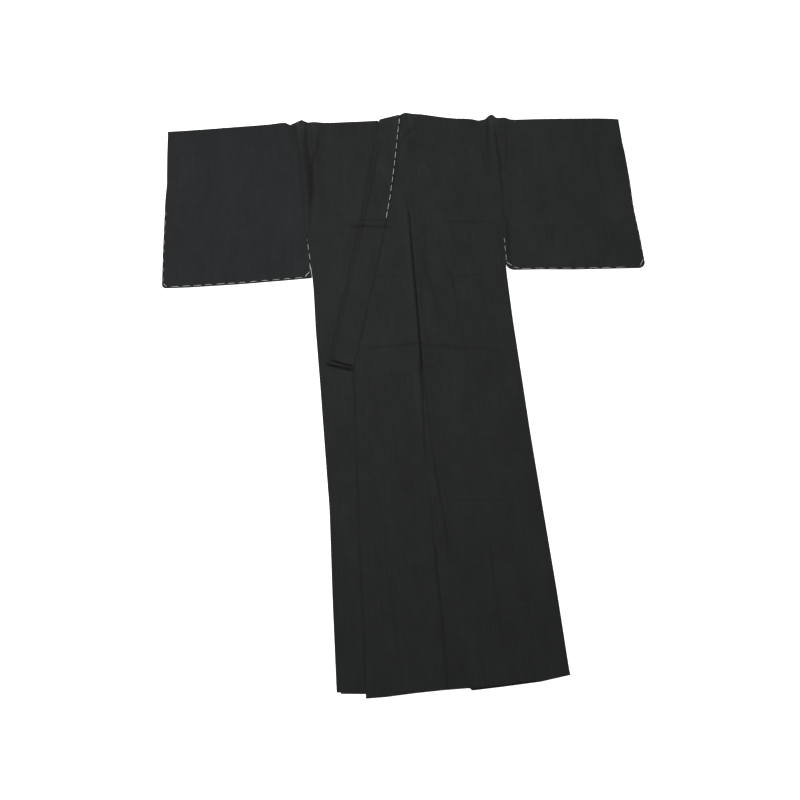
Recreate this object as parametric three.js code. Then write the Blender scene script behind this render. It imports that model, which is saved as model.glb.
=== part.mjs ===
// A plain kimono laid out flat, front up, with its neck closed. Lengths are in millimetres.
// +X is the side of the wearer's left sleeve, +Y points to the neck, +Z is up from the surface it lies on.
// Every piece of cloth is a wall worked out from rows of points across it, in layers that lie on each other.
import * as THREE from 'three';

// Cloth
const WALL = 1.0;
const GAP = 0.3;
const LAYER = WALL + GAP;
const SEAM = 0.4;
const ARM_SEAM = 1.0;

// Folds over an edge, and how upper cloth comes down beside the layers it lies on
const TURN_STEPS = 4;
const EDGE_STEPS = TURN_STEPS + 2;
const RAMP = 22;
const CLEAR = 22;
const STEP = 4;

// Share of a standing fold's length after which it dies out
const FOLD_FADE = 0.45;

// Sleeves
const WRIST = 650;
const ARMHOLE_DEPTH = 230;
const FREE_EDGE_GAP = 1.5;
const FREE_EDGE_RAMP = 30;
const ARMHOLE_ACROSS = 280;
const WRIST_CORNER = { right: 12, left: 20 };
const INNER_CORNER = { right: 2, left: 22 };

// Collar
const COLLAR_END = 757;
const OVERCOLLAR_END = 313;
const BAND_TURN = 3.5;
const BAND_EDGE = 1.5 * LAYER;
const BAND_INSET = 1;

// Layers under the collar band at the neck, on the under front and on the top front,
// and the layers of band that lie on the under front
const UNDER_BASE = 1;
const TOP_BASE = 5;
const COLLAR_LAYERS = 2;
const NECK_LAYERS = 4;

// Side seams
const SIDE_OPENING_END = 365;
const WRAP_START = 400;
const NOTCH = 9;
const NOTCH_START = 300;

// Body outline, by the distance down from the shoulder: both edges, the middle of the back,
// and how far the back cloth comes round each edge to its side seam on the front.
const BODY = [
  { down: -20, left: -275, right: 290, centre: -23, wrapLeft: 0, wrapRight: 0 },
  { down: 100, left: -274, right: 285, centre: -14, wrapLeft: 0, wrapRight: 0 },
  { down: 230, left: -270, right: 281, centre: -6, wrapLeft: 0, wrapRight: 0 },
  { down: 365, left: -264, right: 276, centre: 4, wrapLeft: 0, wrapRight: 0 },
  { down: 400, left: -262, right: 274, centre: 6, wrapLeft: 8, wrapRight: 8 },
  { down: 480, left: -255, right: 270, centre: 12, wrapLeft: 8, wrapRight: 11 },
  { down: 640, left: -248, right: 272, centre: 23, wrapLeft: 8, wrapRight: 16 },
  { down: 790, left: -242, right: 278, centre: 34, wrapLeft: 8, wrapRight: 24 },
  { down: 950, left: -236, right: 284, centre: 45, wrapLeft: 8, wrapRight: 36 },
  { down: 1130, left: -229, right: 292, centre: 57, wrapLeft: 8, wrapRight: 50 },
  { down: 1350, left: -228, right: 303, centre: 70, wrapLeft: 8, wrapRight: 66 },
  { down: 1580, left: -226, right: 313, centre: 79, wrapLeft: 8, wrapRight: 79 },
];

// Front edges, by the distance down from the shoulder. On top: the collar's seam and free edge,
// the overlap panel's seam. Below, on the under front: the same, with its collar running the other way.
const FRONT = [
  { down: -20, seam: 8, free: -54, panel: 9, underSeam: -53, underFree: 4, underPanel: -54 },
  { down: 0, seam: 6, free: -54, panel: 7, underSeam: -50, underFree: 4, underPanel: -51 },
  { down: 110, seam: -11, free: -75, panel: -11, underSeam: -20, underFree: 45, underPanel: -20 },
  { down: 232, seam: -32, free: -101, panel: -32, underSeam: 10, underFree: 76, underPanel: 10 },
  { down: 313, seam: -45, free: -117, panel: -31, underSeam: 28, underFree: 90, underPanel: 15 },
  { down: 500, seam: -89, free: -161, panel: -28, underSeam: 60, underFree: 122, underPanel: 19 },
  { down: 757, seam: -155, free: -223, panel: -22, underSeam: 104, underFree: 166, underPanel: 22 },
  { down: 1580, seam: -162, free: -162, panel: -11, underSeam: 192, underFree: 192, underPanel: 66 },
];

// Hem, by the place across: how far down each layer reaches.
const HEM = [
  { across: -226, under: 1564, back: 1561, top: 1577 },
  { across: -167, under: 1568, back: 1564, top: 1577 },
  { across: -115, under: 1566, back: 1564, top: 1576 },
  { across: -51, under: 1566, back: 1564, top: 1573 },
  { across: 14, under: 1566, back: 1564, top: 1570 },
  { across: 73, under: 1562, back: 1564, top: 1569 },
  { across: 81, under: 1562, back: 1574, top: 1568 },
  { across: 157, under: 1560, back: 1569, top: 1564 },
  { across: 241, under: 1556, back: 1562, top: 1557 },
  { across: 313, under: 1546, back: 1550, top: 1545 },
];

// Top edge of the laid garment, by the place across.
const SHOULDER = [
  { across: -650, rise: -2 },
  { across: -607, rise: 0 },
  { across: -475, rise: 8 },
  { across: -404, rise: 12 },
  { across: -336, rise: 17 },
  { across: -302, rise: 13 },
  { across: -289, rise: 15 },
  { across: -272, rise: 21 },
  { across: -254, rise: 15 },
  { across: -236, rise: 17 },
  { across: -150, rise: 16 },
  { across: -60, rise: 17 },
  { across: -38, rise: 20 },
  { across: 8, rise: 26 },
  { across: 18, rise: 28 },
  { across: 28, rise: 34 },
  { across: 45, rise: 34 },
  { across: 69, rise: 31 },
  { across: 97, rise: 26 },
  { across: 140, rise: 18 },
  { across: 216, rise: 15 },
  { across: 240, rise: 11 },
  { across: 262, rise: 13 },
  { across: 277, rise: 21 },
  { across: 290, rise: 13 },
  { across: 313, rise: 12 },
  { across: 335, rise: 9 },
  { across: 478, rise: 8 },
  { across: 548, rise: 6 },
  { across: 618, rise: 3 },
  { across: 650, rise: 0 },
];

// Lower edge of the sleeves, by the place across.
const SLEEVE_HEM = [
  { across: -650, down: 501 },
  { across: -580, down: 501 },
  { across: -450, down: 497 },
  { across: -320, down: 490 },
  { across: -255, down: 486 },
  { across: 270, down: 482 },
  { across: 366, down: 484 },
  { across: 454, down: 488 },
  { across: 590, down: 490 },
  { across: 650, down: 491 },
];

// Folds that stand up in the front cloth: a line from its high end to where it dies out.
const FOLDS = [
  { x0: -274, y0: 10, x1: -270, y1: -240, width: 12, height: 14 },
  { x0: -240, y0: 6, x1: -236, y1: -330, width: 12, height: 7 },
  { x0: 285, y0: 6, x1: 280, y1: -220, width: 12, height: 14 },
  { x0: 252, y0: 6, x1: 254, y1: -150, width: 11, height: 5 },
];

// Folds of the top front alone: the rise at the neck, and both sides of the long crease beside the opening.
const TOP_FOLDS = [
  { x0: 28, y0: 22, x1: 12, y1: -130, width: 30, height: 14 },
  { x0: 1, y0: -190, x1: 4, y1: -1500, width: 11, height: 2.4 },
  { x0: 36, y0: -190, x1: 42, y1: -1500, width: 12, height: 2.4 },
];

// Where the columns of points lie across a body front, as shares of its width.
const COLUMNS = [0, 0.06, 0.12, 0.18, 0.24, 0.31, 0.38, 0.45, 0.53, 0.61, 0.69, 0.77, 0.83, 0.88, 0.92, 0.96, 1];
const FLAT_COLUMNS = 10;
const BACK_DOWNS = [1460, 1300, 1130, 950, 790, 640, 480, 400, 365, 300, 200, 90];
const FRONT_DOWNS = [25, 65, 110, 170, 232, 280, 313, 335, 357, 400, 500, 640, 757, 779, 801, 950, 1130, 1350];
const OVERLAP_DOWNS = [250, 313, 335, 357, 400, 500, 640, 757, 779, 801, 950, 1130, 1350];
const OVERLAP_COLUMNS = [0, 0.3, 0.6, 0.8, 0.9, 1];
const COLLAR_DOWNS = [757, 640, 500, 400, 329, 317, 313, 232, 170, 110, 60, 15];
const OVERCOLLAR_DOWNS = [313, 232, 170, 110, 60, 15];
const SLEEVE_COLUMNS = [0, 0.015, 0.03, 0.05, 0.075, 0.11, 0.17, 0.35, 0.55, 0.8, 0.94, 0.975, 0.99, 1];
const SLEEVE_SHARES = [0, 0.04, 0.1, 0.2, 0.35, 0.5, 0.7, 0.88, 0.965, 1];

// Colours of the cloth, darker towards the hem
const CLOTH_COLOUR = 0x2b2d2b;
const SLEEVE_COLOUR = 0x2d2f30;
const BAND_COLOUR = 0x2a2c2a;

// Value of one named column of a table at a place along another
function along(table, key, place, column) {
  let k = 1;
  while (k < table.length - 1 && table[k][key] < place) k += 1;
  const low = table[k - 1];
  const high = table[k];
  const share = THREE.MathUtils.clamp((place - low[key]) / (high[key] - low[key]), 0, 1);
  return THREE.MathUtils.lerp(low[column], high[column], share);
}

const body = (down, column) => along(BODY, 'down', down, column);
const front = (down, column) => along(FRONT, 'down', down, column);
const hem = (across, column) => along(HEM, 'across', across, column);
const shoulder = (across) => along(SHOULDER, 'across', across, 'rise');
const smooth = (value, low, high) => THREE.MathUtils.smoothstep(value, low, high);

// Height that a list of standing folds adds at a place
function relief(folds, x, y) {
  let height = 0;
  for (const fold of folds) {
    const dx = fold.x1 - fold.x0;
    const dy = fold.y1 - fold.y0;
    const share = ((x - fold.x0) * dx + (y - fold.y0) * dy) / (dx * dx + dy * dy);
    if (share >= 1) continue;
    const held = Math.max(share, 0);
    const aside = Math.hypot(x - fold.x0 - held * dx, y - fold.y0 - held * dy) / fold.width;
    height += fold.height * Math.exp(-aside * aside) * (1 - smooth(held, FOLD_FADE, 1));
  }
  return height;
}

// Layers that lie between the back and the top front: the under front, and its collar beside it
function filling(x, y) {
  const down = -y;
  const seam = front(down, 'underSeam');
  const free = front(down, 'underFree');
  const inFront = 1 - smooth(x, free + CLEAR, free + CLEAR + RAMP);
  const inBand = smooth(x, seam - CLEAR - RAMP, seam - CLEAR) * inFront;
  const pastNeck = smooth(down, OVERCOLLAR_END + CLEAR, OVERCOLLAR_END + CLEAR + RAMP);
  const layers = THREE.MathUtils.lerp(NECK_LAYERS, COLLAR_LAYERS, pastNeck);
  const ended = 1 - smooth(down, COLLAR_END + CLEAR, COLLAR_END + CLEAR + RAMP);
  return inFront + (layers - 1) * inBand * ended;
}

// Middle height of the wall in a numbered layer, flat, on the under front and on the top front
const flatHeight = (layer) => WALL / 2 + layer * LAYER;
const underHeight = (x, y) => flatHeight(1) + relief(FOLDS, x, y);
const topRelief = (x, y) => relief(FOLDS, x, y) + relief(TOP_FOLDS, x, y);
const topHeight = (x, y) => flatHeight(1 + filling(x, y)) + topRelief(x, y);

// Closed wall of even thickness round a grid of points, open at its rim or closed round on itself
function wall(grid, closed = false) {
  const rows = grid.length;
  const columns = grid[0].length;
  const row = (i) => (closed ? (i + rows) % rows : THREE.MathUtils.clamp(i, 0, rows - 1));
  const column = (j) => THREE.MathUtils.clamp(j, 0, columns - 1);
  const positions = [];
  for (const side of [0.5, -0.5]) {
    for (let i = 0; i < rows; i += 1) {
      for (let j = 0; j < columns; j += 1) {
        const lengthwise = grid[row(i + 1)][j].clone().sub(grid[row(i - 1)][j]);
        const crosswise = grid[i][column(j + 1)].clone().sub(grid[i][column(j - 1)]);
        const normal = crosswise.cross(lengthwise).normalize();
        const point = grid[i][j].clone().addScaledVector(normal, side * WALL);
        positions.push(point.x, point.y, point.z);
      }
    }
  }
  const indices = [];
  const quad = (a, b, c, d) => indices.push(a, b, c, a, c, d);
  const outer = (i, j) => row(i) * columns + j;
  const inner = (i, j) => rows * columns + outer(i, j);
  const spans = closed ? rows : rows - 1;
  for (let i = 0; i < spans; i += 1) {
    for (let j = 0; j < columns - 1; j += 1) {
      quad(outer(i, j), outer(i, j + 1), outer(i + 1, j + 1), outer(i + 1, j));
      quad(inner(i, j), inner(i + 1, j), inner(i + 1, j + 1), inner(i, j + 1));
    }
    quad(outer(i, 0), outer(i + 1, 0), inner(i + 1, 0), inner(i, 0));
    const last = columns - 1;
    quad(outer(i, last), inner(i, last), inner(i + 1, last), outer(i + 1, last));
  }
  if (!closed) {
    const last = rows - 1;
    for (let j = 0; j < columns - 1; j += 1) {
      quad(outer(0, j), inner(0, j), inner(0, j + 1), outer(0, j + 1));
      quad(outer(last, j), outer(last, j + 1), inner(last, j + 1), inner(last, j));
    }
  }
  const geometry = new THREE.BufferGeometry();
  geometry.setAttribute('position', new THREE.Float32BufferAttribute(positions, 3));
  geometry.setIndex(indices);
  return geometry;
}

// Turns the faces of a wall outward where its grid ran the other way
function facedOut(geometry) {
  const place = geometry.attributes.position;
  const index = geometry.index.array;
  let volume = 0;
  const a = new THREE.Vector3();
  const b = new THREE.Vector3();
  const c = new THREE.Vector3();
  for (let k = 0; k < index.length; k += 3) {
    a.fromBufferAttribute(place, index[k]);
    b.fromBufferAttribute(place, index[k + 1]);
    c.fromBufferAttribute(place, index[k + 2]);
    volume += a.dot(b.cross(c));
  }
  if (volume > 0) return geometry;
  for (let k = 0; k < index.length; k += 3) {
    [index[k + 1], index[k + 2]] = [index[k + 2], index[k + 1]];
  }
  return geometry;
}

// Points of a half turn in the YZ plane, from a low height round the edge at top to a high one
function halfTurn(lowX, highX, top, low, high, steps) {
  const radius = (high - low) / 2;
  const points = [];
  for (let k = 0; k <= steps; k += 1) {
    const angle = (Math.PI * k) / steps;
    const x = THREE.MathUtils.lerp(lowX, highX, k / steps);
    const y = top - radius * (1 - Math.sin(angle));
    points.push(new THREE.Vector3(x, y, low + radius * (1 - Math.cos(angle))));
  }
  return points;
}

// Places across a back row that runs flat to the side edge, round it, and back on top by the wrap
function wrappedRow(inner, edge, wrap, side) {
  const radius = LAYER / 2;
  const flat = Math.abs(edge - inner) - radius;
  const topColumns = COLUMNS.length - FLAT_COLUMNS - TURN_STEPS;
  return COLUMNS.map((share, j) => {
    const beyond = j - (FLAT_COLUMNS - 1);
    if (beyond <= 0) return [inner + side * flat * (j / (FLAT_COLUMNS - 1)), flatHeight(0)];
    if (beyond <= TURN_STEPS) {
      const angle = (Math.PI * beyond) / TURN_STEPS;
      const round = radius * (1 - Math.sin(angle));
      return [edge - side * round, flatHeight(0) + radius * (1 - Math.cos(angle))];
    }
    const onTop = wrap * ((beyond - TURN_STEPS) / topColumns);
    return [edge - side * (radius + onTop), flatHeight(1)];
  });
}

// Places across the back row where the side seam starts: its last columns lie close to the edge
function gatheredRow(inner, edge, side) {
  const flat = Math.abs(edge - inner) - NOTCH;
  return COLUMNS.map((share, j) => {
    const flatShare = Math.min(j / (FLAT_COLUMNS - 1), 1);
    const endShare = Math.max(j - FLAT_COLUMNS + 1, 0) / (COLUMNS.length - FLAT_COLUMNS);
    return [inner + side * (flat * flatShare + NOTCH * endShare), flatHeight(0)];
  });
}

// One half of the body: back, shoulder and front in one length of cloth
function bodyHalf(side) {
  const edgeName = side < 0 ? 'left' : 'right';
  const wrapName = side < 0 ? 'wrapLeft' : 'wrapRight';
  const panelName = side < 0 ? 'underPanel' : 'panel';
  const frontHeight = side < 0 ? underHeight : topHeight;
  const hemName = side < 0 ? 'under' : 'top';
  const armhole = (down) => body(down, edgeName) - side * (ARM_SEAM / 2);
  const innerFront = (down) => front(down, panelName) + side * (SEAM / 2);
  const grid = [];
  const backRow = (down, atHem) => {
    const inner = body(down, 'centre') + side * (SEAM / 2);
    const edge = armhole(down);
    let places = COLUMNS.map((share) => [THREE.MathUtils.lerp(inner, edge, share), flatHeight(0)]);
    if (down >= WRAP_START) places = wrappedRow(inner, edge, body(down, wrapName), side);
    else if (down >= SIDE_OPENING_END) places = gatheredRow(inner, edge, side);
    return places.map(([x, z]) => new THREE.Vector3(x, atHem ? -hem(x, 'back') : -down, z));
  };
  grid.push(backRow(BODY[BODY.length - 1].down, true));
  for (const down of BACK_DOWNS) grid.push(backRow(down, false));
  // Shoulder: every column goes over the top edge
  const neck = innerFront(0);
  const arm = armhole(0);
  const turns = COLUMNS.map((share) => {
    const x = THREE.MathUtils.lerp(neck, arm, share);
    const top = shoulder(x);
    return halfTurn(x, x, top, flatHeight(0), frontHeight(x, top), EDGE_STEPS);
  });
  for (let k = 0; k <= EDGE_STEPS; k += 1) grid.push(turns.map((points) => points[k]));
  const frontRow = (down, atHem) => {
    const inner = innerFront(down);
    let setIn = down > NOTCH_START ? NOTCH : 0;
    if (down >= WRAP_START) setIn = LAYER / 2 + body(down, wrapName) + SEAM;
    const outer = armhole(down) - side * setIn;
    return COLUMNS.map((share) => {
      const x = THREE.MathUtils.lerp(inner, outer, share);
      const y = atHem ? -hem(x, hemName) : -down;
      return new THREE.Vector3(x, y, frontHeight(x, y));
    });
  };
  for (const down of FRONT_DOWNS) grid.push(frontRow(down, false));
  grid.push(frontRow(BODY[BODY.length - 1].down, true));
  return wall(grid);
}

// Overlap panel beside a front, from its tip at the collar down to the hem
function overlap(side) {
  const seamName = side < 0 ? 'underSeam' : 'seam';
  const panelName = side < 0 ? 'underPanel' : 'panel';
  const panelHeight = side < 0 ? underHeight : topHeight;
  const hemName = side < 0 ? 'under' : 'top';
  const panelRow = (down, atHem) => {
    const inner = front(down, panelName) - side * (SEAM / 2);
    const outer = front(down, seamName) + (down < COLLAR_END ? side * (SEAM / 2) : 0);
    return OVERLAP_COLUMNS.map((share) => {
      const x = THREE.MathUtils.lerp(inner, outer, share);
      const y = atHem ? -hem(x, hemName) : -down;
      return new THREE.Vector3(x, y, panelHeight(x, y));
    });
  };
  const grid = OVERLAP_DOWNS.map((down) => panelRow(down, false));
  grid.push(panelRow(BODY[BODY.length - 1].down, true));
  return wall(grid);
}

// Collar band: a strip folded along its left edge, from the under front's end over the top edge
// at the neck and down the top front. Layers are counted from the band's own lowest one.
function band(downs, lowLayer, highLayer, across, grows) {
  // Each column of the band: its share of the width, and how far round the lengthwise fold it is
  const leaves = [1, 0.5, 0].map((share) => ({ share, turn: 0 }));
  for (let k = 1; k < TURN_STEPS; k += 1) leaves.push({ share: 0, turn: k / TURN_STEPS });
  for (const share of [0, 0.5, 1]) leaves.push({ share, turn: 1 });
  const radius = ((highLayer - lowLayer) * LAYER) / 2;
  const middle = (lowLayer + highLayer) / 2;
  const placed = (left, right, y, base, flipped) => leaves.map(({ share, turn }) => {
    const first = flipped ? lowLayer : highLayer;
    const width = right - left - radius - across - SEAM;
    const x = left + radius + across + share * width - radius * Math.sin(Math.PI * turn);
    const level = middle + (first - middle) * Math.cos(Math.PI * turn);
    return new THREE.Vector3(x, y, flatHeight(base + level));
  });
  const grid = [];
  const settle = (down) => (grows ? 1 - smooth(down, OVERCOLLAR_END, OVERCOLLAR_END + STEP) : 1);
  for (const down of downs) {
    const left = front(down, 'underSeam') + BAND_INSET;
    grid.push(placed(left, front(down, 'underFree'), -down, settle(down), true));
  }
  // Over the top edge at the neck, each leaf round the ones inside it
  const low = placed(front(0, 'underSeam') + BAND_INSET, front(0, 'underFree'), 0, UNDER_BASE, true);
  const high = placed(front(0, 'free'), front(0, 'seam'), 0, TOP_BASE, false);
  const turns = low.map((start, j) => {
    const end = high[j];
    const top = shoulder((start.x + end.x) / 2);
    const lift = topRelief(Math.max(end.x, front(0, 'free') + BAND_EDGE), top);
    const inside = BAND_TURN * LAYER - (end.z - start.z) / 2;
    return halfTurn(start.x, end.x, top - inside, start.z, end.z + lift, EDGE_STEPS);
  });
  for (let k = 0; k <= EDGE_STEPS; k += 1) grid.push(turns.map((points) => points[k]));
  for (const down of [...downs].reverse()) {
    const row = placed(front(down, 'free'), front(down, 'seam'), -down, settle(down), false);
    for (const point of row) {
      const x = Math.max(point.x, front(down, 'free') + BAND_EDGE);
      point.z += filling(x, point.y) * LAYER + topRelief(x, point.y);
    }
    grid.push(row);
  }
  return wall(grid);
}

// Sleeve: a flat tube folded along the top, sewn along the bottom, open at the wrist and at its inner edge
function sleeve(side) {
  const edgeName = side < 0 ? 'left' : 'right';
  const wearers = side < 0 ? 'right' : 'left';
  const wristCorner = WRIST_CORNER[wearers];
  const innerCorner = INNER_CORNER[wearers];
  const innerEdge = (down) => {
    const free = smooth(down, ARMHOLE_DEPTH, ARMHOLE_DEPTH + FREE_EDGE_RAMP) * FREE_EDGE_GAP;
    return body(down, edgeName) + side * (ARM_SEAM / 2 + free);
  };
  const innerDrop = along(SLEEVE_HEM, 'across', side * ARMHOLE_ACROSS, 'down');
  const innerEnd = Math.abs(innerEdge(innerDrop));
  const rounded = (past, corner) => corner - Math.sqrt(Math.max(corner * corner - Math.max(past, 0) ** 2, 0));
  const bottom = (x) => {
    const drop = along(SLEEVE_HEM, 'across', x, 'down');
    const atWrist = rounded(Math.abs(x) - (WRIST - wristCorner), wristCorner);
    const atBody = rounded(innerEnd + innerCorner - Math.abs(x), innerCorner);
    return -drop + atWrist + atBody;
  };
  const leaf = (share, heightAt) => SLEEVE_COLUMNS.map((column) => {
    const x = THREE.MathUtils.lerp(innerEdge(innerDrop * share), side * WRIST, column);
    const top = shoulder(x) - (underHeight(x, shoulder(x)) - flatHeight(0)) / 2;
    const y = THREE.MathUtils.lerp(top, bottom(x) + LAYER / 2, share);
    return new THREE.Vector3(x, y, heightAt(x, y));
  });
  const rows = [...SLEEVE_SHARES].reverse().map((share) => leaf(share, () => flatHeight(0)));
  const overTop = leaf(0, underHeight).map((start) => {
    const top = shoulder(start.x);
    return halfTurn(start.x, start.x, top, flatHeight(0), underHeight(start.x, top), EDGE_STEPS);
  });
  for (let k = 1; k < EDGE_STEPS; k += 1) rows.push(overTop.map((points) => points[k]));
  for (const share of SLEEVE_SHARES) rows.push(leaf(share, underHeight));
  for (let k = 1; k < TURN_STEPS; k += 1) {
    const angle = (Math.PI * k) / TURN_STEPS;
    const lowered = new THREE.Vector3(0, (-LAYER / 2) * Math.sin(angle), (LAYER / 2) * (Math.cos(angle) - 1));
    rows.push(leaf(1, () => flatHeight(1)).map((point) => point.add(lowered)));
  }
  return wall(rows, true);
}

// One named piece of cloth
function piece(name, geometry, colour) {
  const cloth = new THREE.MeshStandardMaterial({ color: colour, roughness: 0.85, metalness: 0 });
  const mesh = new THREE.Mesh(facedOut(geometry), cloth);
  mesh.name = name;
  return mesh;
}

const kimono = new THREE.Group();
kimono.add(piece('body_right', bodyHalf(-1), CLOTH_COLOUR));
kimono.add(piece('body_left', bodyHalf(1), CLOTH_COLOUR));
kimono.add(piece('overlap_right', overlap(-1), CLOTH_COLOUR));
kimono.add(piece('overlap_left', overlap(1), CLOTH_COLOUR));
kimono.add(piece('sleeve_right', sleeve(-1), SLEEVE_COLOUR));
kimono.add(piece('sleeve_left', sleeve(1), SLEEVE_COLOUR));
kimono.add(piece('collar', band(COLLAR_DOWNS, 1, 2, LAYER + SEAM, true), BAND_COLOUR));
kimono.add(piece('overcollar', band(OVERCOLLAR_DOWNS, 0, 3, 0, false), BAND_COLOUR));

// The origin is under the middle of the laid garment
const box = new THREE.Box3().setFromObject(kimono);
kimono.position.set(-(box.min.x + box.max.x) / 2, -(box.min.y + box.max.y) / 2, 0);

export default kimono;
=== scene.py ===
import math
import random

import bpy
import numpy as np
from mathutils import Matrix, Vector


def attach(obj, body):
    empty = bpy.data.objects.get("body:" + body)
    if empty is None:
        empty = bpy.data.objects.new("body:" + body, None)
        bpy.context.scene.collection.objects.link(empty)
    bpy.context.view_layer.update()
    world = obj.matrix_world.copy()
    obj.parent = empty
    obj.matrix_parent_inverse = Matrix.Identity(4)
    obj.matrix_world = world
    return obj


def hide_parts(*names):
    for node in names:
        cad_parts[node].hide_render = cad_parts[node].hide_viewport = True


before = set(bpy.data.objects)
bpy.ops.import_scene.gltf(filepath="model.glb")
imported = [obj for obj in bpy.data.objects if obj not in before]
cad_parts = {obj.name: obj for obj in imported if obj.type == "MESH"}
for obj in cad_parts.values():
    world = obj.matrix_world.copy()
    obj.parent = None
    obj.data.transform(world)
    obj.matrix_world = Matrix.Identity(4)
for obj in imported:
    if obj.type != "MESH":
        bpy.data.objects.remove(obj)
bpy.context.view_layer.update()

# The cloth is worked out in millimetres, with x across, y from the shoulder line up to the neck and
# z up from the surface it lies on. "down" is the distance down from the shoulder line.
MILLIMETRE = 0.001
SHIFT = np.array([-0.01, 771.2, 0.0])

# Cloth: its middle lies where the solid's middle does, and it is a little thinner
WALL = 1.0
GAP = 0.3
LAYER = WALL + GAP
SHELL = 0.9
SEAM = 0.1
ARM_SEAM = 0.1
EDGE_STEPS = 14
SIDE_STEPS = 8
RAMP = 22
LONG_RAMP = 110
CLEAR = 22

# Sleeves
FREE_EDGE_GAP = 0.05
OPENING_GAP = {"right": 1.5, "left": 0.0}
OPENING_RAMP = (425, 470)
ARMHOLE_ACROSS = 280
WRIST_CORNER = {"right": 12, "left": 20}
INNER_CORNER = {"right": 2, "left": 22}

# Collar
COLLAR_END = 757
OVERCOLLAR_END = 313
BAND_TURN = 3.5
BAND_EDGE = 1.5 * LAYER
BAND_INSET = 1
UNDER_BASE = 1
TOP_BASE = 5
COLLAR_LAYERS = 2
NECK_LAYERS = 4
STEP = 4

# Side seams
SIDE_OPENING_END = 365
WRAP_START = 400
NOTCH = 9
SLACK_RAMP = (335, 362)

# A standing fold keeps its height up to this share of its length, and then dies out
FOLD_FADE = 0.45

# How far apart the rows and columns of points lie
COLUMN_STEP = 4
BACK_STEP = 30
FRONT_STEP = 4.8
FINE_STEP = 2.6
PANEL_STEP = 4.6
HIDDEN_STEP = 12
SIDE_STEP = 5
BAND_STEP = 5
BAND_END_STEP = 2
# The widths that the columns' steps are shares of
HALF_WIDTH = 310
PANEL_WIDTH = 170
# The first rows below the shoulder line, the overlap panel's first row, the last even row above the
# hem, and the steps from there to the hem
FIRST_BACK_ROW = 340
FIRST_FRONT_ROWS = (6, 12, 18, 25)
FIRST_BAND_ROWS = (6, 15)
PANEL_TIP = 250
LAST_ROW = 1540
HEM_STEPS = 8


def table(columns, *rows):
    """A table with named columns, each an array."""
    names = columns.split()
    return {name: np.array([row[k] for row in rows], float) for k, name in enumerate(names)}


# By the distance down: the body's sides, the middle of the back, and how far the back wraps onto
# the front
BODY = table(
    "down left right centre wrap_left wrap_right",
    (-20, -275, 290, -23, 0, 0),
    (100, -274, 285, -14, 0, 0),
    (230, -270, 281, -6, 0, 0),
    (365, -264, 276, 4, 0, 0),
    (400, -262, 274, 6, 8, 8),
    (480, -253, 270.5, 12, 8, 11),
    (530, -250.5, 271, 16, 8, 13),
    (640, -248.5, 273, 23, 8, 16),
    (790, -242, 278.5, 34, 8, 24),
    (950, -236, 284, 45, 8, 36),
    (1130, -229, 292.5, 57, 8, 50),
    (1350, -229.5, 303.5, 70, 8, 66),
    (1580, -227.5, 312, 79, 8, 79),
)

# Front edges on top, and below them those of the under front, whose collar runs the other way
FRONT = table(
    "down seam free panel under_seam under_free under_panel",
    (-20, 13, -40, 13, -53, 4, -54),
    (0, 9.5, -43.5, 9.5, -50, 4, -51),
    (40, 2.5, -57, 2.5, -40, 18, -40),
    (110, -7.5, -75, -7.5, -20, 45, -20),
    (232, -28, -97.5, -28, 10, 76, 10),
    (313, -45, -117, -31, 28, 90, 15),
    (500, -89, -161, -28, 60, 122, 19),
    (757, -155, -223, -22, 104, 166, 22),
    (1580, -162, -162, -11, 192, 192, 66),
)

# Hem, by the place across: how far down each layer reaches
HEM = table(
    "across under back top",
    (-226, 1564, 1561, 1578.5),
    (-167, 1568, 1564, 1578.5),
    (-115, 1566, 1564, 1577.5),
    (-51, 1566, 1564, 1573),
    (14, 1566, 1564, 1570),
    (73, 1562, 1564, 1568.8),
    (81, 1562, 1574, 1570),
    (157, 1560, 1569.5, 1564.5),
    (241, 1556, 1563.5, 1558.5),
    (313, 1546, 1552, 1547.5),
)

# Top edge of the laid garment, by the place across
SHOULDER = table(
    "across rise",
    (-650, 1.5),
    (-607, 3),
    (-540, 6.5),
    (-472, 10.5),
    (-404, 14.5),
    (-360, 17.5),
    (-330, 21.5),
    (-316, 21),
    (-303, 13.5),
    (-290, 19.5),
    (-278, 25.5),
    (-269, 30),
    (-260, 24),
    (-252, 20.5),
    (-232, 21),
    (-204, 18),
    (-182, 17.5),
    (-130, 18.5),
    (-60, 20),
    (-44, 20.5),
    (-32, 24),
    (-8, 28.5),
    (15, 31),
    (27, 38),
    (50, 38.5),
    (73, 38.5),
    (96, 34.5),
    (130, 27.5),
    (153, 23.5),
    (176, 20.5),
    (199, 19.5),
    (222, 16.5),
    (239, 11),
    (251, 11.5),
    (259, 15),
    (268, 25.5),
    (276, 30),
    (281, 32),
    (286, 24),
    (290, 19.5),
    (297, 18.5),
    (305, 19),
    (319, 18.2),
    (330, 12.5),
    (345, 10.8),
    (408, 11),
    (478, 10.2),
    (548, 8.4),
    (583, 7.7),
    (619, 5.8),
    (650, 2.5),
)

# Lower edge of the sleeves, by the place across
SLEEVE_HEM = table(
    "across down",
    (-650, 501),
    (-580, 501),
    (-450, 497),
    (-320, 490),
    (-255, 486),
    (270, 482),
    (366, 484),
    (454, 488),
    (590, 490),
    (650, 491),
)

# How far out each sleeve's wrist opening lies, by the distance down
WRISTS = table(
    "down right left",
    (0, 648, 647.5),
    (80, 648, 647.5),
    (115, 647.5, 649.5),
    (170, 646.3, 650),
    (225, 649.3, 650),
    (275, 650, 648.3),
    (310, 650.3, 648),
    (400, 651.5, 651.5),
    (500, 651, 652.5),
)

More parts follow.
